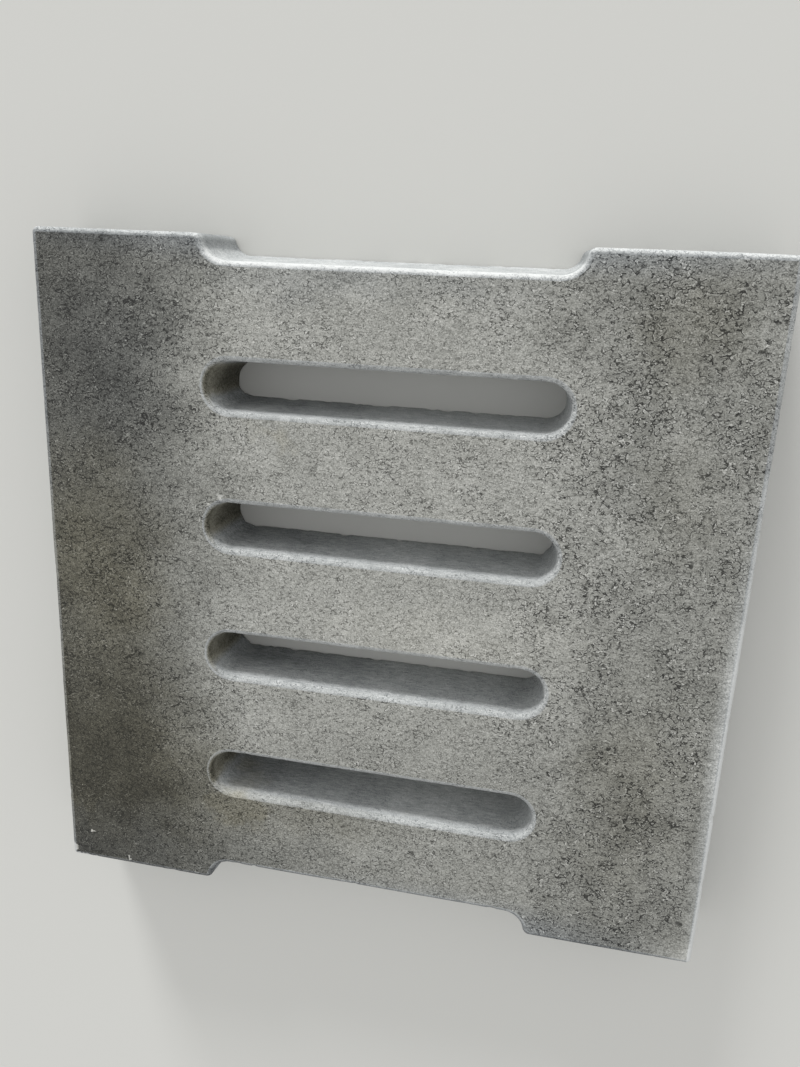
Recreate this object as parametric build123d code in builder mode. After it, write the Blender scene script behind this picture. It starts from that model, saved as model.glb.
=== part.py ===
from build123d import *
from math import radians, tan
import os

# A square precast concrete cover slab with four long slots and a notch in each of two edges.
#
# It is cast face down in a mould, so the moulded face has rounded arrises. The mould's sides
# are upright and open outwards. The formers of the slots and notches are drawn out through
# the concrete, so they have draft: the slots and notches close towards the struck back.
# The slab lies on its struck back. X runs along the slots, Y across them, and Z is up through
# the slab, with the origin in the middle of the underside. All sizes are in millimetres.

# The slab, and the rounding that the mould gives to its upright corners and face edges.
face_width = 1000.0
face_length = 1000.0
thickness = 110.0
corner_radius = 8.0
arris_radius = 7.0

# The draft of the formers that leave the slots and notches.
draft_angle = 5.0

# Four slots with half-round ends, at the face.
slot_count = 4
slot_pitch = 200.0
slot_length = 500.0
slot_width = 70.0

# One notch in the middle of each of the two edges that run along the slots, at the face.
notch_width = 500.0
notch_depth = 35.0
notch_wall_angle = 75.0
notch_floor_radius = 32.0
notch_shoulder_radius = 11.0

face_plane = Plane.XY.offset(thickness)
edge_y = face_length / 2
notch_floor_y = edge_y - notch_depth

# The notch's former stands out past the slab's side by more than its draft takes off it.
former_overhang = 2 * thickness * tan(radians(draft_angle))
former_depth = notch_depth + former_overhang
former_middle_y = notch_floor_y + former_depth / 2

# The notch is as wide as stated halfway down its sloping walls.
wall_lean = 1 / tan(radians(notch_wall_angle))
former_width = notch_width + (2 * former_depth - notch_depth) * wall_lean


def on_notch_floor(corner):
    """True for a corner of a former that lies on the floor of its notch."""
    return abs(abs(corner.Y) - notch_floor_y) < notch_depth / 4


def at_notch_shoulder(edge):
    """True for an edge that runs down the slab's side where a notch opens from it."""
    middle = edge.center()
    on_side = abs(abs(middle.Y) - edge_y) < 0.01
    off_corner = abs(middle.X) < face_width / 2 - 2 * corner_radius
    runs_down = abs((edge % 0.5).Z) > 0.9
    return on_side and off_corner and runs_down


with BuildPart() as slab:
    # The block that the mould's upright sides leave.
    with BuildSketch() as block_outline:
        RectangleRounded(face_width, face_length, corner_radius)
    extrude(amount=thickness)

    # The notches, cut by formers that close towards the back.
    with BuildSketch(face_plane) as notch_formers:
        for side, turn in ((1, 180), (-1, 0)):
            with Locations((0, side * former_middle_y)):
                Trapezoid(former_width, former_depth, notch_wall_angle, rotation=turn)
        floor_corners = notch_formers.vertices().filter_by(on_notch_floor)
        fillet(floor_corners, notch_floor_radius)
    extrude(amount=-thickness, taper=draft_angle, mode=Mode.SUBTRACT)
    fillet(slab.edges().filter_by(at_notch_shoulder), notch_shoulder_radius)

    # The slots, cut from the face and closing towards the back.
    with BuildSketch(face_plane) as slot_mouths:
        with GridLocations(0, slot_pitch, 1, slot_count):
            SlotOverall(slot_length, slot_width)
    extrude(amount=-thickness, taper=draft_angle, mode=Mode.SUBTRACT)

    # The rounded arrises of the moulded face, round its outline and every slot.
    moulded_face = slab.faces().sort_by(Axis.Z)[-1]
    fillet(moulded_face.edges(), arris_radius)

slab.part.label = "slab"

os.makedirs("parts", exist_ok=True)
export_step(slab.part, "parts/slab.step")

box = slab.part.bounding_box()
print(f"slab {box.size.X:.1f} x {box.size.Y:.1f} x {box.size.Z:.1f} mm")
print(f"volume {slab.part.volume / 1e9:.4f} m3, solids {len(slab.part.solids())}")
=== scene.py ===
# %% [markdown]
# A precast concrete slab with four slots, lying on its back.
#
# The solid model comes first: its box and its one node are the fixed frame that everything
# below is fitted to. All lengths here are in metres, as they are in the frame.

# %% Load the frame
import math

import bmesh
import bpy
import numpy as np
from mathutils import Matrix, Vector, geometry


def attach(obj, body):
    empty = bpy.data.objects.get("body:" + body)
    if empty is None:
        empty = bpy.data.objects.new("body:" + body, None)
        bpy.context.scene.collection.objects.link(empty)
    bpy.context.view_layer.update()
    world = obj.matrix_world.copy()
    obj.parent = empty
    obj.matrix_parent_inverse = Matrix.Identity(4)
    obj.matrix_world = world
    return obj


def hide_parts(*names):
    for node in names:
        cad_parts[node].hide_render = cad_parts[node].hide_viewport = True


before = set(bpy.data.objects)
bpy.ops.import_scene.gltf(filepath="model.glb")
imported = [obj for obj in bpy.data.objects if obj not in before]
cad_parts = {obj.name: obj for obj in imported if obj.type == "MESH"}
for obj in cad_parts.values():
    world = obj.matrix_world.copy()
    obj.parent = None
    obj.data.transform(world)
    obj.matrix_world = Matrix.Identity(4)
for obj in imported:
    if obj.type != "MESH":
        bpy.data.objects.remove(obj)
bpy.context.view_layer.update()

# %% [markdown]
# The slab's sizes, the same numbers as in the solid. The mould's sides are upright. The formers
# that leave the slots and notches are drawn out through the concrete after it sets, so they
# have draft: slots and notches get smaller towards the struck back.

# %% Sizes of the slab
FACE_WIDTH = 1.0
FACE_LENGTH = 1.0
THICKNESS = 0.110
DRAFT = math.radians(5.0)
ARRIS_RADIUS = 0.007
CORNER_RADIUS = 0.008
SLOT_CENTRES = (0.3, 0.1, -0.1, -0.3)
SLOT_LENGTH = 0.500
SLOT_WIDTH = 0.070
NOTCH_WIDTH = 0.500
NOTCH_DEPTH = 0.035
NOTCH_WALL_ANGLE = math.radians(75.0)
NOTCH_SHOULDER_RADIUS = 0.011
NOTCH_FLOOR_RADIUS = 0.032

# %% [markdown]
# The camera stands where the photographer did, measured from the face: a little right of the
# middle and over the notched edge, 1.15 m from the face, and turned slightly. A camera's matrix
# has its right, up and backward directions as columns, so those three are written down and the
# place is the fourth column. The lens is the one whose picture shrinks with distance as the
# photograph does.

# %% Camera at the photograph's angle
CAMERA_PLACE = Vector((0.26014, 0.45550, 1.14795 + THICKNESS))
CAMERA_RIGHT = Vector((0.97776983, 0.04378991, -0.20505758))
CAMERA_UP = Vector((-0.09843768, 0.95934594, -0.26450973))
CAMERA_BACK = Vector((0.18513830, 0.27881502, 0.94233009))
PICTURE_SIZE = (800, 1067)
FOCAL_PIXELS = 885.0

camera_data = bpy.data.cameras.new("camera")
camera_data.sensor_width = 36.0
camera_data.lens = FOCAL_PIXELS / max(PICTURE_SIZE) * camera_data.sensor_width
camera = bpy.data.objects.new("camera", camera_data)
bpy.context.scene.collection.objects.link(camera)
axes = Matrix((CAMERA_RIGHT, CAMERA_UP, CAMERA_BACK)).transposed().to_4x4()
camera.matrix_world = Matrix.Translation(CAMERA_PLACE) @ axes
bpy.context.scene.camera = camera
print("camera", [round(v, 3) for v in CAMERA_PLACE], "lens", round(camera_data.lens, 2), "mm")

# %% [markdown]
# The slab's outline is straight lines joined by arcs. Each point is kept with the direction
# that leads out of the concrete there. The outline is worked out twice, at the face and at the
# back, with the same number of points, so each point has a straight way down the wall.

# %% Points along the outline and the slots
SPACING = 0.0052
CORNER_POINTS, SHOULDER_POINTS, HOLLOW_POINTS, SLOT_END_POINTS = 6, 7, 10, 20


def arc(centre, radius, start, end, count, hollow=False):
    """Points and outward directions on an arc; a hollow arc has its centre outside the slab."""
    sign = -1.0 if hollow else 1.0
    for angle in np.linspace(start, end, count):
        way = np.array((math.cos(angle), math.sin(angle)))
        yield np.array(centre) + radius * way, sign * way


def quarter_outline(drawn_in):
    """From the right edge round to the top notch's floor; drawn_in is what the draft takes."""
    half_x, half_y = FACE_WIDTH / 2, FACE_LENGTH / 2
    wall_way = np.array((-math.sin(NOTCH_WALL_ANGLE), math.cos(NOTCH_WALL_ANGLE)))
    wall_point = np.array((NOTCH_WIDTH / 2, half_y - NOTCH_DEPTH / 2))

    def centre_beside_wall(away, y):
        """The point at y that lies this far out from the notch's sloping wall."""
        x = wall_point[0] + (away - (y - wall_point[1]) * wall_way[1]) / wall_way[0]
        return (x, y)

    turn = math.pi / 2
    corner = (half_x - CORNER_RADIUS, half_y - CORNER_RADIUS)
    shoulder = centre_beside_wall(drawn_in - NOTCH_SHOULDER_RADIUS, half_y - NOTCH_SHOULDER_RADIUS)
    hollow = centre_beside_wall(NOTCH_FLOOR_RADIUS, half_y - NOTCH_DEPTH + NOTCH_FLOOR_RADIUS)
    yield from arc(corner, CORNER_RADIUS, 0, turn, CORNER_POINTS)
    yield from arc(shoulder, NOTCH_SHOULDER_RADIUS, turn, turn + NOTCH_WALL_ANGLE,
                   SHOULDER_POINTS)
    yield from arc(hollow, NOTCH_FLOOR_RADIUS - drawn_in, NOTCH_WALL_ANGLE - turn, -turn,
                   HOLLOW_POINTS, hollow=True)


def whole_outline(drawn_in):
    """The quarter mirrored to the left, and then both mirrored to the near side."""
    quarter = list(quarter_outline(drawn_in))
    mirror_x, mirror_y = np.array((-1.0, 1.0)), np.array((1.0, -1.0))
    left = [(p * mirror_x, n * mirror_x) for p, n in reversed(quarter)]
    top = quarter + left
    return top + [(p * mirror_y, n * mirror_y) for p, n in reversed(top)]


def slot_rim(centre_y, drawn_in):
    """A slot's rim. Out of the concrete is towards the slot's middle, so the arcs are hollow."""
    half = (SLOT_LENGTH - SLOT_WIDTH) / 2
    radius, turn = SLOT_WIDTH / 2 - drawn_in, math.pi / 2
    right = arc((half, centre_y), radius, turn, -turn, SLOT_END_POINTS, hollow=True)
    left = arc((-half, centre_y), radius, -turn, -3 * turn, SLOT_END_POINTS, hollow=True)
    return list(right) + list(left)


def divide(at_face, at_back):
    """Divide the runs between points, alike at both levels: point, direction, way down."""
    points, ways, slides = [], [], []
    count = len(at_face)
    for k in range(count):
        (p, n), (q, m) = at_face[k], at_face[(k + 1) % count]
        (p_back, _), (q_back, _) = at_back[k], at_back[(k + 1) % count]
        steps = max(1, round(np.linalg.norm(q - p) / SPACING))
        for step in range(steps):
            share = step / steps
            point = p + (q - p) * share
            way = n * (1 - share) + m * share
            points.append(point)
            ways.append(way / np.linalg.norm(way))
            slides.append((p_back + (q_back - p_back) * share - point) / THICKNESS)
    return np.array(points), np.array(ways), np.array(slides)


full_draft = THICKNESS * math.tan(DRAFT)
loops = [divide(whole_outline(0.0), whole_outline(full_draft))]
loops += [divide(slot_rim(y, 0.0), slot_rim(y, full_draft)) for y in SLOT_CENTRES]
print("points on the rims", [len(points) for points, ways, slides in loops])

# %% [markdown]
# The section through an edge: over the rounded arris, down the wall, and round the broken lower
# edge. An upright side turns through a right angle and a drafted wall through a little more,
# so the arris is worked out for each point's own lean. Each row also says how much of it is
# arris and how much is wall, which the finish uses later.

# %% Rows of points down the edge
ARRIS_ROWS = 7
WALL_ROWS = 12
BROKEN_EDGE = 0.0022
BESIDE_ARRIS = 0.0007


def level(loop, height):
    """The wall's points at a height."""
    points, ways, slides = loop
    return points + slides * (THICKNESS - height)[:, None]


def arris_row(loop, share):
    """Points over the arris, from the flat face (share 0) to the wall (share 1)."""
    points, ways, slides = loop
    outward = (slides * ways).sum(axis=1)
    lean = np.arctan(outward)
    setback = ARRIS_RADIUS * np.tan((math.pi / 2 - lean) / 2)
    angle = math.pi / 2 + (lean - math.pi / 2) * share
    out = -setback + ARRIS_RADIUS * np.cos(angle)
    height = THICKNESS - ARRIS_RADIUS + ARRIS_RADIUS * np.sin(angle)
    sideways = slides - ways * outward[:, None]
    flat = points + ways * out[:, None] + sideways * (THICKNESS - height)[:, None]
    return np.column_stack([flat, height])


def wall_row(loop, share):
    """Points down the wall, from the arris (share 0) to the broken edge (share 1)."""
    start = arris_row(loop, 1.0)[:, 2]
    height = start + (BROKEN_EDGE - start) * share
    return np.column_stack([level(loop, height), height])


def foot_row(loop, inwards, height):
    """Points on the broken lower edge, a distance in from the wall, at a height."""
    points, ways, slides = loop
    heights = np.full(len(points), height)
    return np.column_stack([level(loop, heights) - ways * inwards, heights])


def flat_row(loop, beside):
    """Points on the flat face, a little way in from the arris, that keep its start crisp."""
    points, ways, slides = loop
    row = arris_row(loop, 0.0)
    row[:, :2] -= ways * beside
    return row


rows = [(0.0, 0.0, [flat_row(loop, BESIDE_ARRIS) for loop in loops])]
rows += [(1.0, 0.0, [arris_row(loop, s) for loop in loops]) for s in np.linspace(0, 1, ARRIS_ROWS)]
rows += [(0.0, 1.0, [wall_row(loop, s) for loop in loops])
         for s in np.linspace(0, 1, WALL_ROWS + 1)[1:]]
# The rows on the broken edge: distance in and height, as parts of its size, and share of wall.
for inwards, up, share in ((0.4, 0.3, 1.0), (1.3, 0.0, 0.5)):
    rows.append((0.0, share, [foot_row(loop, BROKEN_EDGE * inwards, BROKEN_EDGE * up)
                              for loop in loops]))
print("rows down the edge", len(rows))

# %% [markdown]
# The two flat sides are filled with small triangles, so that later they can be dented. Evenly
# spaced points, each moved a little at random so that no rows show, are joined to the rims by
# a constrained Delaunay triangulation, which makes the least slender triangles it can.

# %% Points inside a rim and clear of it
rng = np.random.default_rng(7)
LARGEST_SHIFT = 0.22
POINTS_AT_ONCE = 2000


def inside(points, rims):
    """True for points inside the first rim and outside all others (even-odd rule)."""
    hit = np.zeros(len(points), bool)
    for rim in rims:
        x0, y0 = rim[:, 0], rim[:, 1]
        x1, y1 = np.roll(x0, -1), np.roll(y0, -1)
        for block in range(0, len(points), POINTS_AT_ONCE):
            x = points[block:block + POINTS_AT_ONCE, 0, None]
            y = points[block:block + POINTS_AT_ONCE, 1, None]
            crosses = (y0 > y) != (y1 > y)
            with np.errstate(divide="ignore", invalid="ignore"):
                where = x0 + (y - y0) * (x1 - x0) / (y1 - y0)
            odd = (np.sum(crosses & (x < where), axis=1) % 2).astype(bool)
            hit[block:block + POINTS_AT_ONCE] ^= odd
    return hit


def shifted_grid(rim, spacing):
    """Points of even triangles over the rim's box, each moved a little at random."""
    half_x = abs(rim[:, 0]).max()
    half_y = abs(rim[:, 1]).max()
    grid = []
    for row, y in enumerate(np.arange(-half_y, half_y, spacing * math.sqrt(3) / 2)):
        for x in np.arange(-half_x + (row % 2) * spacing / 2, half_x, spacing):
            grid.append((x, y))
    return np.array(grid) + rng.uniform(-LARGEST_SHIFT, LARGEST_SHIFT, (len(grid), 2)) * spacing


def clear_of(points, rim_points, gap):
    """The points that are further than the gap from every point of the rims."""
    near = np.full(len(points), np.inf)
    for block in range(0, len(points), POINTS_AT_ONCE):
        apart = points[block:block + POINTS_AT_ONCE, None, :] - rim_points[None, :, :]
        near[block:block + POINTS_AT_ONCE] = np.sqrt((apart ** 2).sum(axis=2)).min(axis=1)
    return points[near > gap]


print("points are moved by up to", LARGEST_SHIFT, "of their spacing")

# %% Flat sides as even triangles
FACE_SPACING = 0.0046
BACK_SPACING = 0.0085
GAP_AT_RIMS = 0.6
SAME_POINT = 1e-7


def flat_side(rims, spacing):
    """Triangles over the area between the rims; the rims' points come first."""
    rim_points = np.vstack(rims)
    grid = shifted_grid(rims[0], spacing)
    grid = clear_of(grid[inside(grid, rims)], rim_points, spacing * GAP_AT_RIMS)
    points = np.vstack([rim_points, grid])
    edges, first = [], 0
    for rim in rims:
        count = len(rim)
        edges += [(first + k, first + (k + 1) % count) for k in range(count)]
        first += count
    made = geometry.delaunay_2d_cdt([Vector(p) for p in points], edges, [], 0, SAME_POINT)
    corners, triangles = np.array([tuple(v) for v in made[0]]), np.array(made[2])
    if len(corners) != len(points):
        raise SystemExit("the triangulation merged points")
    middles = corners[triangles].mean(axis=1)
    return corners, triangles[inside(middles, rims)]


rings = [ring for arris, wall, ring in rows]
top_points, top_triangles = flat_side([ring[:, :2] for ring in rings[0]], FACE_SPACING)
back_points, back_triangles = flat_side([ring[:, :2] for ring in rings[-1]], BACK_SPACING)
print("flat sides", len(top_triangles), "and", len(back_triangles), "triangles")

# %% [markdown]
# All of it becomes one closed mesh, because the slab is one casting. Its points are numbered
# row after row down the edge, then inside the face, then inside the back. So faces with four
# corners join each row to the next, and the flat sides' triangles only get their numbers
# shifted.

# %% Points and faces of the closed mesh
rim_count = sum(len(ring) for ring in rings[0])
last_row = (len(rings) - 1) * rim_count
top_start = len(rings) * rim_count
back_start = top_start + len(top_points) - rim_count

vertices = [np.vstack(ring) for ring in rings]
for points, height in ((top_points, THICKNESS), (back_points, 0.0)):
    inner = points[rim_count:]
    vertices.append(np.column_stack([inner, np.full(len(inner), height)]))
vertices = np.vstack(vertices)

faces = []
for row in range(len(rings) - 1):
    first = row * rim_count
    for ring in rings[row]:
        count = len(ring)
        for k in range(count):
            a, b = first + k, first + (k + 1) % count
            faces.append((a, a + rim_count, b + rim_count, b))
        first += count
for triangles, rim_start, inner_start in ((top_triangles, 0, top_start),
                                          (back_triangles, last_row, back_start)):
    shift = np.where(triangles < rim_count, rim_start, inner_start - rim_count)
    faces += [tuple(corners) for corners in (triangles + shift).tolist()]
print("closed mesh", len(vertices), "points,", len(faces), "faces")

# %% [markdown]
# The relief and the finish have to know where on the slab they are. A mesh can carry numbers
# on its points, so each point gets three: its share of arris, its share of wall, and whether
# it is on the struck back. They blend softly between one row and the next.

# %% The mesh, with its places as numbers on the points
mesh = bpy.data.meshes.new("concrete_slab")
mesh.from_pydata([tuple(v) for v in vertices], [], faces)
shares = {name: np.zeros(len(vertices), np.float32) for name in ("arris", "wall", "struck")}
for row, (arris, wall, ring) in enumerate(rows):
    on_row = slice(row * rim_count, (row + 1) * rim_count)
    shares["arris"][on_row] = arris
    shares["wall"][on_row] = wall
shares["struck"][last_row:top_start] = 1.0
shares["struck"][back_start:] = 1.0
for name, values in shares.items():
    mesh.attributes.new(name, "FLOAT", "POINT").data.foreach_set("value", values)
print("points on the struck back", int(shares["struck"].sum()))

# %% [markdown]
# Light asks which side of a face is the outside, so all faces are turned outwards. On a
# closed mesh every edge has two faces, so the count of all others has to be 0.

# %% Faces turned outwards, and a count of open edges
shape = bmesh.new()
shape.from_mesh(mesh)
bmesh.ops.recalc_face_normals(shape, faces=shape.faces)
open_edges = sum(1 for edge in shape.edges if len(edge.link_faces) != 2)
triangle_count = sum(len(face.verts) - 2 for face in shape.faces)
shape.to_mesh(mesh)
shape.free()
mesh.shade_smooth()

slab = bpy.data.objects.new("concrete_slab", mesh)
bpy.context.scene.collection.objects.link(slab)
print("slab mesh", triangle_count, "triangles,", open_edges, "open edges")

# %% [markdown]
# Nodes are how both the relief and the finish are written, so two small helpers come first.
# One turns a hex colour, as a paint chart gives it, into the linear numbers that light needs.
# The other adds any node, fills its inputs and links it, in one line. A node's type name is
# long, so the ones that come up often get a short name.

# %% Helpers for colours and nodes
NOISE, CELLS, RANGE = "ShaderNodeTexNoise", "ShaderNodeTexVoronoi", "ShaderNodeMapRange"
MATH, VECTOR, MIX = "ShaderNodeMath", "ShaderNodeVectorMath", "ShaderNodeMix"
SPLIT = "ShaderNodeSeparateXYZ"


def linear(hex_colour):
    """An sRGB hex colour as linear red, green, blue and alpha."""
    channels = [int(hex_colour[k:k + 2], 16) / 255 for k in (1, 3, 5)]
    return [c / 12.92 if c <= 0.04045 else ((c + 0.055) / 1.055) ** 2.4 for c in channels] + [1.0]


def add(tree, kind, *values, first=0, output=0, **more):
    """Add a node and return one of its outputs.

    The values fill the inputs in order, from the one numbered first. A word with a capital
    names one input, and a word without one is a setting of the node. A value may be another
    node's output.
    """
    node = tree.nodes.new(kind)
    inputs = list(enumerate(values, first))
    for word, value in more.items():
        if word[0].isupper():
            inputs.append((word.replace("_", " "), value))
        else:
            setattr(node, word, value)
    for key, value in inputs:
        if isinstance(value, bpy.types.NodeSocket):
            tree.links.new(value, node.inputs[key])
        else:
            node.inputs[key].default_value = value
    return node.outputs[output] if len(node.outputs) else node


def per_mm(size):
    """The texture scale whose pattern repeats about every size millimetres."""
    return 1000.0 / size


print("mid grey", [round(v, 3) for v in linear("#8c8c88")])

# %% [markdown]
# The relief that can be felt: the face is a little wavy from the mould, small hollows were left
# by trapped air, the arrises are chipped here and there, and the underside, which was the open
# top of the mould, was only struck off with a board. Geometry Nodes move each point inwards
# along its normal, never outwards, so the slab stays inside its real size.

# %% Relief tree: its inputs
relief = bpy.data.node_groups.new("worn_cast_relief", "GeometryNodeTree")
relief.interface.new_socket("Geometry", in_out="INPUT", socket_type="NodeSocketGeometry")
relief.interface.new_socket("Geometry", in_out="OUTPUT", socket_type="NodeSocketGeometry")
RELIEF_INPUTS = {
    "Waviness depth": 0.0006,
    "Hollow depth": 0.0010,
    "Chip depth": 0.0024,
    "Struck depth": 0.0034,
    "Ragged edge depth": 0.0030,
    "Seed": 3.7,
}
relief_sockets = {}
for label, value in RELIEF_INPUTS.items():
    relief_sockets[label] = relief.interface.new_socket(label, in_out="INPUT",
                                                        socket_type="NodeSocketFloat")
material_socket = relief.interface.new_socket("Finish", in_out="INPUT",
                                              socket_type="NodeSocketMaterial")
relief_in = relief.nodes.new("NodeGroupInput").outputs
place = add(relief, "GeometryNodeInputPosition")
normal = add(relief, "GeometryNodeInputNormal")
height = add(relief, SPLIT, place, output=2)
print("relief inputs", list(RELIEF_INPUTS))

# %% [markdown]
# Every kind of relief is a noise of a real size, cut off below one level and full above
# another, so it comes as separate dents. Each is kept to where it belongs: hollows to the
# moulded faces, chips to the arrises, the coarse tear to the struck back, and the ragged
# breaks to the foot of the walls, where the former broke away from the wet top.

# %% Relief tree: dents and where they belong
on_arris = add(relief, "GeometryNodeInputNamedAttribute", "arris", data_type="FLOAT")
on_back = add(relief, "GeometryNodeInputNamedAttribute", "struck", data_type="FLOAT")
not_on_back = add(relief, MATH, 1.0, on_back, operation="SUBTRACT", use_clamp=True)
FOOT_TOP, FOOT_FULL = 0.013, 0.001
near_foot = add(relief, RANGE, height, FOOT_TOP, FOOT_FULL, interpolation_type="SMOOTHSTEP")

# Each dent: its input, its size in mm, the noise levels it starts and is full at, and its place.
DENTS = [
    ("Waviness depth", 130, 0.35, 0.70, 1.0, 1.0),
    ("Hollow depth", 17, 0.57, 0.74, 3.0, not_on_back),
    ("Chip depth", 22, 0.64, 0.74, 3.0, on_arris),
    ("Struck depth", 21, 0.46, 0.70, 4.0, on_back),
    ("Ragged edge depth", 15, 0.50, 0.68, 3.0, near_foot),
]
# Each kind reads the noise at a place of its own, this far from the one before.
NOISE_STEP = 5.0
depth = 0.0
for number, (label, size, low, high, detail, where) in enumerate(DENTS):
    apart = add(relief, VECTOR, place, (number * NOISE_STEP, 0, 0), operation="ADD")
    dents = add(relief, NOISE, Vector=apart, W=relief_in["Seed"], Scale=per_mm(size),
                Detail=detail, noise_dimensions="4D")
    dents = add(relief, RANGE, dents, low, high, interpolation_type="SMOOTHSTEP")
    dents = add(relief, MATH, dents, where, operation="MULTIPLY")
    depth = add(relief, MATH, dents, relief_in[label], depth, operation="MULTIPLY_ADD")

inwards = add(relief, MATH, depth, -1.0, operation="MULTIPLY")
move = add(relief, VECTOR, normal, Scale=inwards, operation="SCALE")
moved = add(relief, "GeometryNodeSetPosition", Geometry=relief_in["Geometry"], Offset=move)
real = add(relief, "GeometryNodeRealizeInstances", moved)
dressed = add(relief, "GeometryNodeSetMaterial", Geometry=real, Material=relief_in["Finish"])
add(relief, "NodeGroupOutput", dressed)
print("relief tree", len(relief.nodes), "nodes,", len(DENTS), "kinds of dent")

# %% [markdown]
# The finish: grey concrete cast against a steel mould and left in a yard. Its skin is fine
# cement paste, so it is matt and pale grey. Where the skin stuck to the mould it tore into
# short dark marks, and along the margins damp and dirt have soaked in. One number, the tone,
# gathers everything that makes a place lighter or darker. A second one, the stain, says how
# much warm dirt there is in it. Colour ramps turn the two into colour at the end.

# %% Cast concrete: coordinates
concrete = bpy.data.materials.new("cast_concrete")
concrete.use_nodes = True
tree = concrete.node_tree
tree.nodes.clear()
here = add(tree, "ShaderNodeTexCoord", output=3)
here_x, here_y, here_z = add(tree, SPLIT, here).node.outputs
faces_right, faces_far = add(tree, SPLIT, here.node.outputs["Normal"]).node.outputs[:2]

# A large noise pushes the coordinates about, so that soft patches drawn on them spread
# unevenly, as damp does. A small one does the same for the edges of chips.
SPREAD = 0.16
push = add(tree, NOISE, Vector=here, Scale=per_mm(110), Detail=4.0, Roughness=0.6, output=1)
push = add(tree, VECTOR, push, (0.5, 0.5, 0.5), operation="SUBTRACT")
spread = add(tree, VECTOR, push, (SPREAD, SPREAD, SPREAD), here, operation="MULTIPLY_ADD")
along, across = add(tree, SPLIT, spread).node.outputs[:2]

JAG = 0.016
jag = add(tree, NOISE, Vector=here, Scale=per_mm(7), Detail=3.0, Roughness=0.6, output=1)
jag = add(tree, VECTOR, jag, (0.5, 0.5, 0.5), operation="SUBTRACT")
jagged = add(tree, VECTOR, jag, (JAG, JAG, 0.0), here, operation="MULTIPLY_ADD")


def soft_patch(coordinates, x, y, half_x, half_y, crisp=0.0):
    """1 in the middle of an oval patch, fading to 0 at its rim; a crisp one fades only there."""
    away = add(tree, VECTOR, coordinates, (x, y, 0), operation="SUBTRACT")
    away = add(tree, VECTOR, away, (1 / half_x, 1 / half_y, 0), operation="MULTIPLY")
    away = add(tree, VECTOR, away, operation="LENGTH", output=1)
    return add(tree, RANGE, away, 1.0, crisp, interpolation_type="SMOOTHSTEP")


print("coordinates", len(tree.nodes), "nodes")

# %% [markdown]
# First the broad tone. Tones run from 0, darkest, to 1, palest, and the clean middle of the
# slab is about 0.7. The left margin has soaked up the most and the right one less, and the
# tone is also darker in a band along the near edge.

# %% Cast concrete: soaked margins and a darker near band
tone = add(tree, RANGE, along, -0.42, -0.16, 0.29, 0.71, interpolation_type="SMOOTHSTEP")
right_margin = add(tree, RANGE, along, 0.20, 0.37, interpolation_type="SMOOTHSTEP")
near_band = add(tree, RANGE, across, -0.38, -0.50, interpolation_type="SMOOTHSTEP")
tone = add(tree, MATH, right_margin, -0.11, tone, operation="MULTIPLY_ADD")
tone = add(tree, MATH, near_band, -0.13, tone, operation="MULTIPLY_ADD")
print("margins", len(tree.nodes), "nodes so far")

# %% [markdown]
# No noise would put damp and dirt where they are on this slab, so they are drawn by place.
# Soft oval patches on the spread coordinates make each place lighter or darker, and dirtier
# or cleaner, than what lies around it.

# %% Cast concrete: patches of damp and dirt
# Middle x and y, half sizes, how much lighter or darker, and how much warm stain.
PATCHES = [
    ("soaked lower left", -0.42, -0.30, 0.28, 0.24, -0.16, 0.6),
    ("soaked foot left", -0.18, -0.46, 0.20, 0.11, -0.18, 0.0),
    ("olive left middle", -0.44, 0.00, 0.20, 0.26, 0.02, 0.6),
    ("dark upper left", -0.38, 0.33, 0.16, 0.22, -0.05, -0.1),
    ("damp right", 0.38, -0.24, 0.13, 0.24, -0.09, 0.2),
    ("damp upper right", 0.39, 0.41, 0.10, 0.10, -0.08, 0.2),
    ("dark middle right", 0.40, 0.20, 0.08, 0.14, -0.03, 0.1),
    ("dull top bar", -0.05, 0.47, 0.36, 0.07, -0.09, -0.2),
    ("pale bar", 0.10, -0.03, 0.30, 0.08, 0.07, 0.1),
    ("dull lower half", 0.05, -0.31, 0.62, 0.22, -0.10, 0.0),
    ("pale upper left", -0.30, 0.40, 0.26, 0.14, 0.06, 0.0),
    ("dirty lower bar", -0.10, -0.36, 0.24, 0.08, -0.15, 0.2),
    ("damp by upper slot", 0.28, 0.42, 0.14, 0.10, -0.10, 0.0),
    ("damp by lower slot", -0.31, -0.37, 0.16, 0.11, -0.16, 0.1),
    ("pale middle right", 0.30, 0.12, 0.12, 0.10, 0.06, 0.0),
    ("olive slot end", -0.21, -0.37, 0.05, 0.04, -0.06, 0.7),
    ("olive below slot", -0.15, 0.245, 0.05, 0.02, -0.03, 0.3),
    ("brown stain", -0.47, -0.36, 0.04, 0.09, -0.03, 0.6),
]
print(len(PATCHES), "patches")

# %% [markdown]
# The bands along the edges are straight, because they come from the mould's sides, so they are
# drawn on the plain coordinates. Over everything lie faint clouds of 60 mm, as damp concrete
# shows.

# %% Cast concrete: bands along the edges, and clouds
EDGE_BANDS = [
    ("pale right rim", 0.506, -0.14, 0.036, 0.52, 0.36, -0.5),
    ("dark left rim", -0.506, -0.28, 0.034, 0.30, -0.12, 0.2),
    ("smooth far strip", 0.00, 0.50, 0.70, 0.05, 0.00, -0.7),
    ("smooth near strip", 0.12, -0.50, 0.42, 0.07, 0.03, -0.6),
]
stain = 0.50
places = [(spread, patch) for patch in PATCHES] + [(here, band) for band in EDGE_BANDS]
for coordinates, (name, x, y, half_x, half_y, change, dirt) in places:
    patch = soft_patch(coordinates, x, y, half_x, half_y)
    tone = add(tree, MATH, patch, change, tone, operation="MULTIPLY_ADD")
    if dirt:
        stain = add(tree, MATH, patch, dirt, stain, operation="MULTIPLY_ADD")

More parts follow.
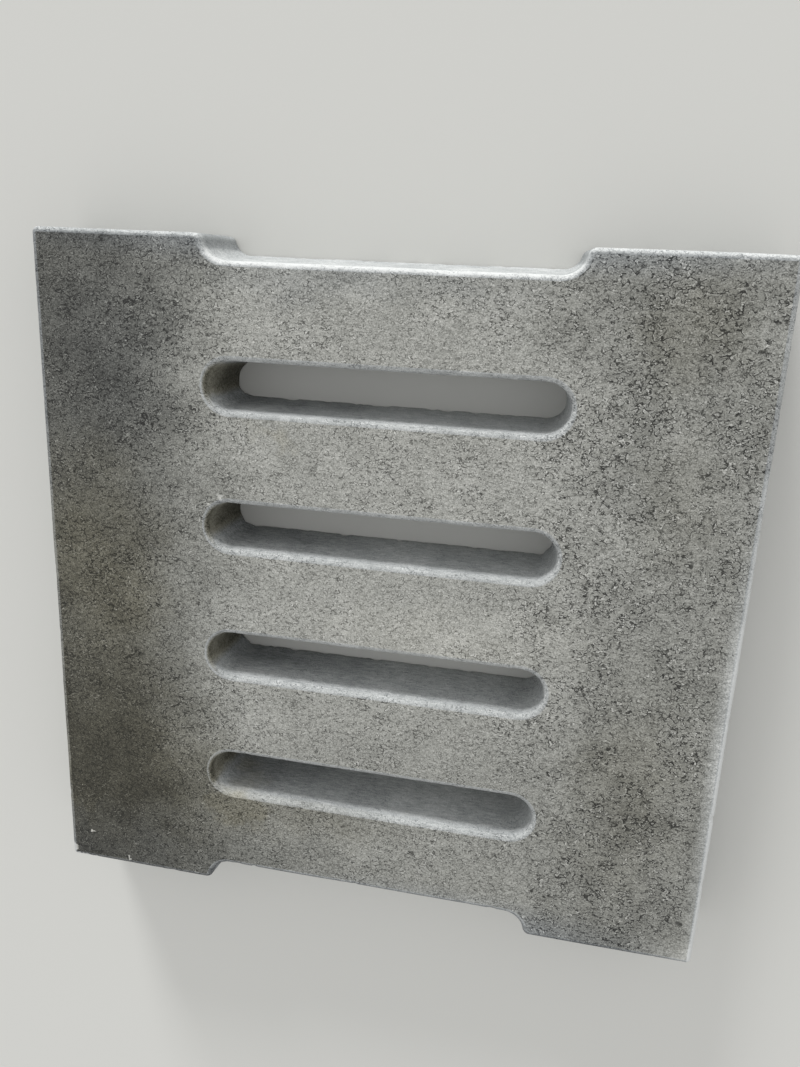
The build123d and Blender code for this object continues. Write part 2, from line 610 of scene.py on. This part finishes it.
clouds = add(tree, NOISE, Vector=here, Scale=per_mm(60), Detail=4.0, Roughness=0.6)
clouds = add(tree, RANGE, clouds, 0.3, 0.7, -1.0, 1.0)
tone = add(tree, MATH, clouds, 0.05, tone, operation="MULTIPLY_ADD")
print(len(EDGE_BANDS), "bands,", len(tree.nodes), "nodes so far")

# %% [markdown]
# The torn marks: the skin stuck to the mould and pulled away in short, bent, worm-like lines.
# Where a smooth noise passes through its middle value it draws just such lines, like the
# contours of a map. A second noise breaks them into short pieces. A tear's dark is partly the
# tear and partly painted shadow under its edge. Beside each tear runs a pale lip, a painted
# highlight, which is the same contour at a slightly higher value.

# %% Cast concrete: how a torn mark is drawn
# The pale lip's distance from the tear and its width, both in widths of the tear, and the strength
# of this painted highlight.
LIP_PLACE, LIP_WIDTH, PAINTED_HIGHLIGHT_STRENGTH = 2.2, 0.8, -0.55


def torn_marks(size, width, gap_size, gap_share, stretch, shift):
    """Short bent lines: 1 where the skin is torn, partly painted shadow, below 0 on the pale lip,
    a painted highlight, beside the tear.
    """
    moved = add(tree, VECTOR, here, (1 / stretch, 1, 1), (shift, shift, shift),
                operation="MULTIPLY_ADD")
    skin = add(tree, NOISE, Vector=moved, Scale=per_mm(size), Detail=1.5, Roughness=0.55)
    tear = add(tree, MATH, skin, 0.5, width, operation="COMPARE")
    # The pale lip beside the tear is a painted highlight.
    lip = add(tree, MATH, skin, 0.5 + LIP_PLACE * width, LIP_WIDTH * width, operation="COMPARE")
    tear = add(tree, MATH, lip, PAINTED_HIGHLIGHT_STRENGTH, tear, operation="MULTIPLY_ADD")
    gaps = add(tree, NOISE, Vector=moved, Scale=per_mm(gap_size), Detail=0.0)
    gaps = add(tree, RANGE, gaps, gap_share, gap_share + 0.04)
    return add(tree, MATH, tear, gaps, operation="MULTIPLY")


large_marks = torn_marks(size=9.0, width=0.030, gap_size=7.0, gap_share=0.48, stretch=1.2,
                         shift=0.0)
small_marks = torn_marks(size=4.2, width=0.036, gap_size=4.6, gap_share=0.46, stretch=1.35,
                         shift=1.3)
print("marks of 9 and 4 mm", len(tree.nodes), "nodes so far")

# %% [markdown]
# The marks are not even. A noise of 48 mm gathers the large ones into clusters, the margins
# beside the slots have the most of them, and four places are torn worst of all. The right rim
# and the near corner by it let go of the mould cleanly and have almost none.

# %% Cast concrete: where the skin is torn
left_of_slots = add(tree, RANGE, along, -0.15, -0.27, interpolation_type="SMOOTHSTEP")
right_of_slots = add(tree, RANGE, along, 0.14, 0.28, interpolation_type="SMOOTHSTEP")
margins = add(tree, MATH, left_of_slots, 0.60, right_of_slots, operation="MULTIPLY_ADD")
clusters = add(tree, NOISE, Vector=here, Scale=per_mm(48), Detail=3.0, Roughness=0.65)
clusters = add(tree, RANGE, clusters, 0.40, 0.60, interpolation_type="SMOOTHSTEP")
gathered = add(tree, RANGE, margins, 0.0, 1.0, 0.25, 1.0)
gathered = add(tree, MATH, gathered, clusters, operation="MULTIPLY")

# Middle x and y, and half sizes.
WORST_TORN = ((0.32, 0.14, 0.12, 0.12), (0.37, 0.41, 0.13, 0.09),
              (-0.37, 0.22, 0.08, 0.12), (-0.08, -0.37, 0.16, 0.04))
for x, y, half_x, half_y in WORST_TORN:
    worst = soft_patch(spread, x, y, half_x, half_y)
    gathered = add(tree, MATH, worst, 0.30, gathered, operation="MULTIPLY_ADD", use_clamp=True)

clean_rim = soft_patch(here, 0.508, -0.20, 0.044, 0.50, crisp=0.5)
clean_corner = soft_patch(here, 0.51, -0.51, 0.12, 0.10, crisp=0.4)
clean = add(tree, MATH, clean_rim, clean_corner, operation="MAXIMUM")
not_clean = add(tree, RANGE, clean, 0.0, 1.0, 1.0, 0.15)
print(len(WORST_TORN), "worst places,", len(tree.nodes), "nodes so far")

# %% [markdown]
# The small marks are nearly everywhere, and a noise of 70 mm only makes them fainter in calm
# areas. Air bubbles against the mould left pin holes, which are the middles of a third of the
# cells of a 12 mm pattern. The dirt that sits in torn clusters darkens them a little more.

# %% Cast concrete: torn marks and pin holes
calm = add(tree, NOISE, Vector=here, Scale=per_mm(70), Detail=3.0, Roughness=0.6)
calm = add(tree, RANGE, calm, 0.38, 0.62, 0.45, 1.0, interpolation_type="SMOOTHSTEP")
more_torn = add(tree, RANGE, margins, 0.0, 1.0, 1.0, 1.30)
calm = add(tree, MATH, calm, more_torn, operation="MULTIPLY")
calm = add(tree, MATH, calm, not_clean, operation="MULTIPLY")
small_marks = add(tree, MATH, small_marks, calm, operation="MULTIPLY")
for part in (gathered, not_clean):
    large_marks = add(tree, MATH, large_marks, part, operation="MULTIPLY")

hole_gap = add(tree, CELLS, here, Scale=per_mm(12), output=0)
hole_pick = add(tree, "ShaderNodeSeparateColor", hole_gap.node.outputs["Color"])
hole_pick = add(tree, RANGE, hole_pick, 0.62, 0.66)
pin_holes = add(tree, RANGE, hole_gap, 0.11, 0.07)
pin_holes = add(tree, MATH, pin_holes, hole_pick, operation="MULTIPLY")

torn_and_dirty = add(tree, MATH, margins, clusters, operation="MULTIPLY")
# Tears darken the tone, partly as painted shadow, and their pale lips lighten it as painted
# highlight.
for part, weight in ((torn_and_dirty, -0.07), (large_marks, -0.44), (small_marks, -0.38),
                     (pin_holes, -0.22)):
    tone = add(tree, MATH, part, weight, tone, operation="MULTIPLY_ADD")
print("torn marks and pin holes", len(tree.nodes), "nodes so far")

# %% [markdown]
# Sand shows through the paste as a fine grain. Real grains are well under a millimetre, which
# is too fine for the picture, so the grain is drawn at 1.7 mm. Crumbs of 9 and 4 mm are the
# uneven skin itself; they hardly change the colour and mostly work through the bump.

# %% Cast concrete: grain and crumbs
crumbs = add(tree, NOISE, Vector=here, Scale=per_mm(9), Detail=2.0, Roughness=0.6)
fine_crumbs = add(tree, NOISE, Vector=here, Scale=per_mm(4.2), Detail=2.0, Roughness=0.6)
grain = add(tree, NOISE, Vector=here, Scale=per_mm(1.7), Detail=1.0, Roughness=0.6)
grain_tone = add(tree, RANGE, grain, 0.3, 0.7, -1.0, 1.0)
crumb_tone = add(tree, RANGE, fine_crumbs, 0.3, 0.7, -1.0, 1.0)
for part, weight in ((grain_tone, 0.15), (crumb_tone, 0.035)):
    tone = add(tree, MATH, part, weight, tone, operation="MULTIPLY_ADD")
print("grain", len(tree.nodes), "nodes so far")

# %% [markdown]
# Walls and arrises are smoother than the face, because the paste closes up against a narrow
# former. The former's steel, worked along its length, leaves long faint streaks in them. They
# are a noise stretched along the slots. Large tears don't reach the walls, small ones hardly.

# %% Cast concrete: walls of the slots and notches
arris_share = add(tree, "ShaderNodeAttribute", attribute_name="arris", output=2)
wall_share = add(tree, "ShaderNodeAttribute", attribute_name="wall", output=2)
back_share = add(tree, "ShaderNodeAttribute", attribute_name="struck", output=2)

streaks = add(tree, VECTOR, here, (0.25, 1.0, 1.0), operation="MULTIPLY")
streaks = add(tree, NOISE, Vector=streaks, Scale=per_mm(3.5), Detail=3.0, Roughness=0.6)
# The walls' tone is set paler than the face's: painted light that makes up for shade in slots.
wall_tone = add(tree, RANGE, streaks, 0.3, 0.7, 0.70, 0.92)
for part, weight in ((grain_tone, 0.08), (small_marks, -0.14), (clouds, 0.08),
                     (pin_holes, -0.20)):
    wall_tone = add(tree, MATH, part, weight, wall_tone, operation="MULTIPLY_ADD")
print("walls", len(tree.nodes), "nodes so far")

# %% [markdown]
# The left ends of the slots get painted shade, because their walls look right, away from the
# light: their round walls, and the long walls beside them, the more the deeper down. Shares that
# are multiplied say where an end is: left of one line, right of another, off the notches, and on
# walls that look right but not towards the far edge.

# %% Cast concrete: painted shade at the slot ends
# Past this line, from the middle, a point belongs to the slab's outline and not to a slot.
OUTLINE_ZONE = 0.44
from_middle_y = add(tree, MATH, here_y, operation="ABSOLUTE")
off_notches = add(tree, RANGE, from_middle_y, OUTLINE_ZONE, OUTLINE_ZONE - 0.01)

slot_end = add(tree, RANGE, along, -0.19, -0.24, interpolation_type="SMOOTHSTEP")
beside_slot = add(tree, RANGE, along, -0.28, -0.27)
turned_right = add(tree, RANGE, faces_right, 0.2, 0.8)
turned_near = add(tree, RANGE, faces_far, 0.7, 0.2)
for part in (beside_slot, off_notches, turned_right, turned_near):
    slot_end = add(tree, MATH, slot_end, part, operation="MULTIPLY")
# Painted shade on the walls of the slots' left ends.
wall_tone = add(tree, MATH, slot_end, -0.36, wall_tone, operation="MULTIPLY_ADD")

# Painted shade that grows deeper down the walls of the slots' left halves.
deep = add(tree, RANGE, here_z, THICKNESS - 0.010, THICKNESS - 0.070)
left_end = add(tree, RANGE, along, 0.02, -0.18, 0.0, 0.22)
for part in (left_end, off_notches):
    deep = add(tree, MATH, deep, part, operation="MULTIPLY")
wall_tone = add(tree, MATH, wall_tone, deep, operation="SUBTRACT")
print("slot ends", len(tree.nodes), "nodes so far")

# %% [markdown]
# The outer sides came off the mould's steel plates: an even grey with faint clouds and pin
# holes, darker than the slots' walls, whose paler tone is painted light. A point is on them
# when its x or its y is close to half the slab's size, so the larger of the two tells. The
# notches' floors lie further in and keep the painted-light tone of the walls.

# %% Cast concrete: outer sides
SIDE_LINE = FACE_WIDTH / 2 - 0.020
from_middle_x = add(tree, MATH, here_x, operation="ABSOLUTE")
outer = add(tree, MATH, from_middle_x, from_middle_y, operation="MAXIMUM")
outer = add(tree, RANGE, outer, SIDE_LINE - 0.002, SIDE_LINE + 0.002)
side_tone = add(tree, RANGE, streaks, 0.3, 0.7, 0.56, 0.66)
for part, weight in ((grain_tone, 0.07), (clouds, 0.10), (small_marks, -0.12),
                     (pin_holes, -0.26)):
    side_tone = add(tree, MATH, part, weight, side_tone, operation="MULTIPLY_ADD")
wall_tone = add(tree, MIX, outer, A=wall_tone, B=side_tone)
# Walls and, in part, arrises take this tone, its painted light included.
smooth_share = add(tree, MATH, arris_share, 0.6, wall_share, operation="MULTIPLY_ADD")
tone = add(tree, MIX, smooth_share, A=tone, B=wall_tone)
print("outer sides", len(tree.nodes), "nodes so far")

# %% [markdown]
# The rounded lips carry painted light and shade. Those that look towards the far edge get a
# painted highlight, and the ones that look the other way get painted shade. That is strong on
# the outline and hardly there on the slots, whose left ends' lips also get painted shade. The
# lip along the right rim and the corner at its near end are pale too, since they came off the
# mould clean.

# %% Cast concrete: lips
# Painted highlight on lips that look towards the far edge, strongest on the far outline.
painted_lip_highlight = add(tree, RANGE, faces_far, 0.0, 0.6)
far_edge = add(tree, RANGE, here_y, OUTLINE_ZONE, OUTLINE_ZONE + 0.01, -0.02, 0.30)
painted_lip_highlight = add(tree, MATH, painted_lip_highlight, far_edge, operation="MULTIPLY")
# Painted shade on lips that look towards the near edge, on the near outline.
painted_lip_shade = add(tree, RANGE, faces_far, 0.0, -0.7)
near_edge = add(tree, RANGE, here_y, -OUTLINE_ZONE, -OUTLINE_ZONE - 0.01, -0.06, -0.34)
painted_lip_shade = add(tree, MATH, painted_lip_shade, near_edge, operation="MULTIPLY")
# Painted shade on the lips at the slots' left ends.
shaded_end = add(tree, MATH, slot_end, -0.22, operation="MULTIPLY")

right_rim = add(tree, RANGE, here_x, OUTLINE_ZONE, OUTLINE_ZONE + 0.01)
lower_right = add(tree, RANGE, here_y, 0.30, -0.10, 0.14, 0.46)
looks_right = add(tree, RANGE, faces_right, 0.0, 0.5)
for part in (lower_right, looks_right):
    right_rim = add(tree, MATH, right_rim, part, operation="MULTIPLY")

lip_tone = painted_lip_highlight
for part in (painted_lip_shade, shaded_end, right_rim):
    lip_tone = add(tree, MATH, lip_tone, part, operation="ADD")
pale_corner = soft_patch(here, 0.505, -0.500, 0.12, 0.10)
tone = add(tree, MATH, lip_tone, arris_share, tone, operation="MULTIPLY_ADD")
tone = add(tree, MATH, pale_corner, 0.30, tone, operation="MULTIPLY_ADD")
print("lips", len(tree.nodes), "nodes so far")

# %% [markdown]
# Dirt is rinsed off smooth walls and lips, but a warm stain stays in the slots' left ends,
# under their painted shade. The struck back was the open top of the mould and has no skin to
# tear, so it is plain, fairly dark and streaky from the board, with the same clouds and holes.

# %% Cast concrete: dirt on the walls, and the struck back
end_dirt = add(tree, MATH, slot_end, smooth_share, operation="MULTIPLY")
for part, weight in ((smooth_share, -0.7), (end_dirt, 1.9)):
    stain = add(tree, MATH, part, weight, stain, operation="MULTIPLY_ADD")

back_tone = add(tree, RANGE, streaks, 0.3, 0.7, 0.50, 0.66)
for part, weight in ((grain_tone, 0.08), (clouds, 0.08), (pin_holes, -0.25)):
    back_tone = add(tree, MATH, part, weight, back_tone, operation="MULTIPLY_ADD")
tone = add(tree, MIX, back_share, A=tone, B=back_tone)
stain = add(tree, MIX, back_share, A=stain, B=0.40)
print("struck back", len(tree.nodes), "nodes so far")

# %% [markdown]
# Last, the single marks that anyone would know this slab by: fresh chips, which are almost
# white because clean concrete shows in them, and deep tears and air holes, which are dark.
# Each is a small crisp oval on the jagged coordinates, kept to the moulded face.

# %% Cast concrete: single chips and holes
# Middle x and y, and half sizes.
FRESH_CHIPS = [
    (-0.4965, -0.4880, 0.0065, 0.0130),
    (-0.4800, -0.4980, 0.0170, 0.0040),
    (-0.4540, -0.4990, 0.0100, 0.0030),
    (-0.4607, -0.4492, 0.0042, 0.0014),
    (-0.3959, -0.4888, 0.0014, 0.0040),
    (-0.2286, 0.1430, 0.0058, 0.0042),
    (-0.2330, 0.1470, 0.0030, 0.0014),
    (-0.2470, 0.1290, 0.0045, 0.0012),
    (-0.2610, 0.1060, 0.0012, 0.0050),
    (-0.0350, 0.2300, 0.0040, 0.0014),
]
DARK_HOLES = [
    (-0.4456, 0.4583, 0.0028, 0.0028),
    (0.4749, -0.4320, 0.0060, 0.0035),
    (-0.1656, 0.2771, 0.0026, 0.0026),
    (-0.2373, 0.2608, 0.0026, 0.0026),
    (0.3514, 0.4387, 0.0022, 0.0040),
    (0.4066, 0.4333, 0.0046, 0.0022),
    (0.4248, 0.3931, 0.0040, 0.0024),
    (0.4104, -0.3526, 0.0040, 0.0020),
]
near_face = add(tree, RANGE, here_z, THICKNESS - 0.016, THICKNESS - 0.010)


def single_marks(spots, crisp):
    """1 on each small oval of the list, on the moulded face only."""
    marks = 0.0
    for x, y, half_x, half_y in spots:
        spot = soft_patch(jagged, x, y, half_x, half_y, crisp)
        marks = add(tree, MATH, marks, spot, operation="MAXIMUM")
    return add(tree, MATH, marks, near_face, operation="MULTIPLY")


chips = single_marks(FRESH_CHIPS, 0.7)
holes = single_marks(DARK_HOLES, 0.6)
tone = add(tree, MIX, chips, A=tone, B=0.88)
tone = add(tree, MATH, holes, -0.38, tone, operation="MULTIPLY_ADD")
print(len(FRESH_CHIPS), "chips,", len(DARK_HOLES), "holes")

# %% [markdown]
# Two colour ramps turn the tone into colour: one for plain grey paste, which is almost neutral
# and a little blue where it is smooth, and one for the olive and brown of soaked dirt. The
# stain says how much of the second to mix in.

# %% Cast concrete: colour
TONE_STOPS = (0.0, 0.25, 0.5, 0.75, 1.0)
PLAIN = ("#2a2c2e", "#4f5254", "#777a7b", "#9fa2a2", "#c7c9c8")
SOAKED = ("#2b2a22", "#545247", "#7e7c70", "#a5a398", "#c7c5bc")
colours = []
for stops in (PLAIN, SOAKED):
    colours.append(add(tree, "ShaderNodeValToRGB", tone))
    elements = colours[-1].node.color_ramp.elements
    while len(elements) < len(stops):
        elements.new(0.5)
    for element, position, colour in zip(elements, TONE_STOPS, stops):
        element.position = position
        element.color = linear(colour)
# Patches that overlap can add up to more than all of the stain, so it is kept from 0 to 1.
stain = add(tree, MATH, stain, 1.0, operation="MULTIPLY", use_clamp=True)
# A mix node's colours are its inputs 6 and 7, and its colour output is number 2.
colour = add(tree, MIX, *colours, first=6, output=2, data_type="RGBA")
tree.links.new(stain, colour.node.inputs[0])
print("plain", PLAIN[3], "soaked", SOAKED[3])

# %% [markdown]
# The bump makes the fine relief that the mesh is too coarse for. Its height adds up the crumbs
# and the grain and cuts in the torn marks and the pin holes. It is faint on the smooth walls
# and lips. Cement paste is a plain non-metal that is rough all over, so its roughness hardly
# changes and its highlights stay weak.

# %% Cast concrete: bump and shader
surface = add(tree, MATH, crumbs, 0.90, operation="MULTIPLY")
for part, weight in ((fine_crumbs, 0.40), (grain, 0.20), (large_marks, -0.40),
                     (small_marks, -0.25), (pin_holes, -0.60)):
    surface = add(tree, MATH, part, weight, surface, operation="MULTIPLY_ADD")
calmer = add(tree, MATH, back_share, 0.2, smooth_share, operation="MULTIPLY_ADD")
strength = add(tree, RANGE, calmer, 0.0, 1.0, 0.95, 0.22)
bump = add(tree, "ShaderNodeBump", Height=surface, Strength=strength, Distance=0.0025)
roughness = add(tree, RANGE, tone, 0.2, 0.9, 0.80, 0.92)
shader = add(tree, "ShaderNodeBsdfPrincipled", Base_Color=colour, Roughness=roughness,
             Normal=bump, IOR=1.5, Specular_IOR_Level=0.35)
add(tree, "ShaderNodeOutputMaterial", shader)
print("cast concrete", len(tree.nodes), "nodes")

# %% [markdown]
# The relief tree now runs on the slab as a modifier, with its inputs set by the sockets' own
# identifiers. The export wants plain meshes, so the result is taken off as one, and the
# modifier goes. The slab then rides on the part's only body and stands in for its solid.

# %% Give the slab its relief and make it a plain mesh
modifier = slab.modifiers.new("relief", "NODES")
modifier.node_group = relief
for label, value in RELIEF_INPUTS.items():
    modifier[relief_sockets[label].identifier] = value
modifier[material_socket.identifier] = concrete
bpy.context.view_layer.update()
worn = slab.evaluated_get(bpy.context.evaluated_depsgraph_get())
worn_mesh = bpy.data.meshes.new_from_object(worn)
slab.modifiers.clear()
slab.data = worn_mesh
worn_mesh.name = "concrete_slab"
worn_mesh.shade_smooth()
print("worn mesh", len(worn_mesh.vertices), "points, made of",
      [material.name for material in worn_mesh.materials])

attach(slab, "root")
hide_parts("slab")

# %% [markdown]
# A pale floor and soft light. The sky is even, and one broad low light comes over the far edge.
# It rakes over the face, so every tear in the skin shows, and brightens the arrises that look
# that way. A distant light is the same everywhere, so no part of the floor gets too bright.

# %% Floor
FLOOR_HALF = 30
corners = [(x * FLOOR_HALF, y * FLOOR_HALF, 0) for x, y in ((-1, -1), (1, -1), (1, 1), (-1, 1))]
floor_mesh = bpy.data.meshes.new("floor")
floor_mesh.from_pydata(corners, [], [(0, 1, 2, 3)])
floor = bpy.data.objects.new("floor", floor_mesh)
bpy.context.scene.collection.objects.link(floor)
floor_paint = bpy.data.materials.new("pale_floor_paint")
floor_paint.use_nodes = True
floor_shader = floor_paint.node_tree.nodes["Principled BSDF"]
floor_shader.inputs["Base Color"].default_value = linear("#cacac6")
floor_shader.inputs["Roughness"].default_value = 0.9
floor_mesh.materials.append(floor_paint)
print("floor", FLOOR_HALF * 2, "m wide")

# %% Light
SKY_STRENGTH = 0.87
LIGHT_STRENGTH = 3.2
LIGHT_SOFTNESS = math.radians(14.0)
LIGHT_DIRECTION = Vector((1.5, -5.5, -1.02))

world = bpy.data.worlds.new("studio")
world.use_nodes = True
background = world.node_tree.nodes["Background"]
background.inputs["Color"].default_value = (1, 1, 1, 1)
background.inputs["Strength"].default_value = SKY_STRENGTH
bpy.context.scene.world = world

sun_data = bpy.data.lights.new("soft_low_light", "SUN")
sun_data.energy = LIGHT_STRENGTH
sun_data.angle = LIGHT_SOFTNESS
sun = bpy.data.objects.new("soft_low_light", sun_data)
bpy.context.scene.collection.objects.link(sun)
sun.rotation_euler = LIGHT_DIRECTION.to_track_quat("-Z", "Y").to_euler()

bpy.context.scene.view_settings.view_transform = "Standard"
print("light", sun.name, "strength", round(sun_data.energy, 1))
